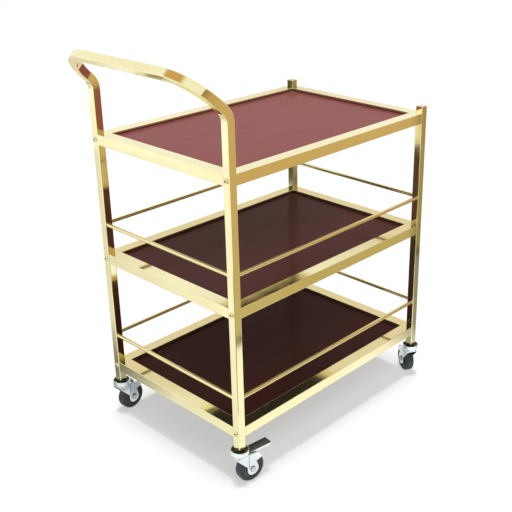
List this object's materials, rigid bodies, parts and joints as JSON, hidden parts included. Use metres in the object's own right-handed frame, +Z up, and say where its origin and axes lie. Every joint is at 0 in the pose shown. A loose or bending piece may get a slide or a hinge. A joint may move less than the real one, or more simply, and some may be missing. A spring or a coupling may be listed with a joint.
{
  "type": "serving trolley",
  "caption": "Tiered serving trolley: gold square-tube frame, inset glossy boards, guard rods round the lower trays, bent push handle, swivel castors with foot brakes.",
  "frame": {"origin": "on the floor, under the middle of the trolley's length and width", "axes": "+Z up, +X from the handle end to the far end, -Y the long side nearest the viewer in the picture"},
  "size_m": [0.8624, 0.5394, 1.0614],
  "materials": {
    "post_gold": "mirror-polished, titanium-gold plated",
    "handle_gold": "mirror-polished, titanium-gold plated",
    "cap_gold": "mirror-polished, titanium-gold plated",
    "rail_gold": "mirror-polished, titanium-gold plated",
    "rod_gold": "mirror-polished, titanium-gold plated",
    "screw_gold": "polished, titanium-gold plated",
    "board_top": "high-gloss burgundy laminate",
    "board_middle": "high-gloss burgundy laminate",
    "board_bottom": "high-gloss burgundy laminate",
    "ledge_steel": "satin",
    "inner_zinc": "zinc plated",
    "stem_zinc": "zinc plated, greased",
    "ball_steel": "polished",
    "fork_zinc": "bright zinc plated",
    "axle_zinc": "bright zinc plated",
    "hub_plastic": "moulded",
    "tyre_rubber": "smooth",
    "lever_zinc": "bright zinc plated",
    "pad_rubber": "ribbed"
  },
  "bodies": {
    "trolley_frame": {"post_handle_front": "post_gold", "post_handle_back": "post_gold", "post_far_front": "post_gold", "post_far_back": "post_gold", "handle_bow": "handle_gold", "post_caps": "cap_gold", "rail_bottom_front": "rail_gold", "rail_bottom_far_end": "rail_gold", "rail_bottom_back": "rail_gold", "rail_bottom_handle_end": "rail_gold", "board_bottom": "board_bottom", "ledges_bottom": "ledge_steel", "rail_middle_front": "rail_gold", "rail_middle_far_end": "rail_gold", "rail_middle_back": "rail_gold", "rail_middle_handle_end": "rail_gold", "board_middle": "board_middle", "ledges_middle": "ledge_steel", "rail_top_front": "rail_gold", "rail_top_far_end": "rail_gold", "rail_top_back": "rail_gold", "rail_top_handle_end": "rail_gold", "board_top": "board_top", "ledges_top": "ledge_steel", "guard_bottom_front": "rod_gold", "guard_bottom_far_end": "rod_gold", "guard_bottom_back": "rod_gold", "guard_bottom_handle_end": "rod_gold", "guard_middle_front": "rod_gold", "guard_middle_far_end": "rod_gold", "guard_middle_back": "rod_gold", "guard_middle_handle_end": "rod_gold", "frame_screws": "screw_gold", "rail_plugs": "inner_zinc", "castor_inserts": "inner_zinc", "castor_stems": "stem_zinc", "swivel_balls": "ball_steel"},
    "castor_handle_front": {"fork_handle_front": "fork_zinc", "axle_handle_front": "axle_zinc"},
    "wheel_handle_front": {"wheel_hub_handle_front": "hub_plastic", "tyre_handle_front": "tyre_rubber"},
    "brake_handle_front": {"brake_lever_handle_front": "lever_zinc", "brake_pad_handle_front": "pad_rubber"},
    "castor_handle_back": {"fork_handle_back": "fork_zinc", "axle_handle_back": "axle_zinc"},
    "wheel_handle_back": {"wheel_hub_handle_back": "hub_plastic", "tyre_handle_back": "tyre_rubber"},
    "castor_far_front": {"fork_far_front": "fork_zinc", "axle_far_front": "axle_zinc"},
    "wheel_far_front": {"wheel_hub_far_front": "hub_plastic", "tyre_far_front": "tyre_rubber"},
    "castor_far_back": {"fork_far_back": "fork_zinc", "axle_far_back": "axle_zinc"},
    "wheel_far_back": {"wheel_hub_far_back": "hub_plastic", "tyre_far_back": "tyre_rubber"},
    "brake_far_back": {"brake_lever_far_back": "lever_zinc", "brake_pad_far_back": "pad_rubber"}
  },
  "joints": [
    {"name": "swivel_handle_front", "type": "hinge", "parent": "trolley_frame", "child": "castor_handle_front", "pos_m": [-0.32925, -0.244, 0.084], "axis": [0, 0, 1], "continuous": true},
    {"name": "spin_handle_front", "type": "hinge", "parent": "castor_handle_front", "child": "wheel_handle_front", "pos_m": [-0.30152, -0.2479, 0.0375], "axis": [0.1392, 0.9903, 0], "continuous": true},
    {"name": "brake_handle_front", "type": "hinge", "parent": "castor_handle_front", "child": "brake_handle_front", "pos_m": [-0.29954, -0.24818, 0.079], "axis": [0.1392, 0.9903, 0], "range_deg": [0, 12]},
    {"name": "swivel_handle_back", "type": "hinge", "parent": "trolley_frame", "child": "castor_handle_back", "pos_m": [-0.32925, 0.244, 0.084], "axis": [0, 0, 1], "continuous": true},
    {"name": "spin_handle_back", "type": "hinge", "parent": "castor_handle_back", "child": "wheel_handle_back", "pos_m": [-0.30136, 0.24644, 0.0375], "axis": [-0.0872, 0.9962, 0], "continuous": true},
    {"name": "swivel_far_front", "type": "hinge", "parent": "trolley_frame", "child": "castor_far_front", "pos_m": [0.38875, -0.244, 0.084], "axis": [0, 0, 1], "continuous": true},
    {"name": "spin_far_front", "type": "hinge", "parent": "castor_far_front", "child": "wheel_far_front", "pos_m": [0.40275, -0.21975, 0.0375], "axis": [-0.866, 0.5, 0], "continuous": true},
    {"name": "swivel_far_back", "type": "hinge", "parent": "trolley_frame", "child": "castor_far_back", "pos_m": [0.38875, 0.244, 0.084], "axis": [0, 0, 1], "continuous": true},
    {"name": "spin_far_back", "type": "hinge", "parent": "castor_far_back", "child": "wheel_far_back", "pos_m": [0.38875, 0.216, 0.0375], "axis": [1, 0, 0], "continuous": true},
    {"name": "brake_far_back", "type": "hinge", "parent": "castor_far_back", "child": "brake_far_back", "pos_m": [0.38875, 0.214, 0.079], "axis": [1, 0, 0], "range_deg": [0, 12]}
  ]
}
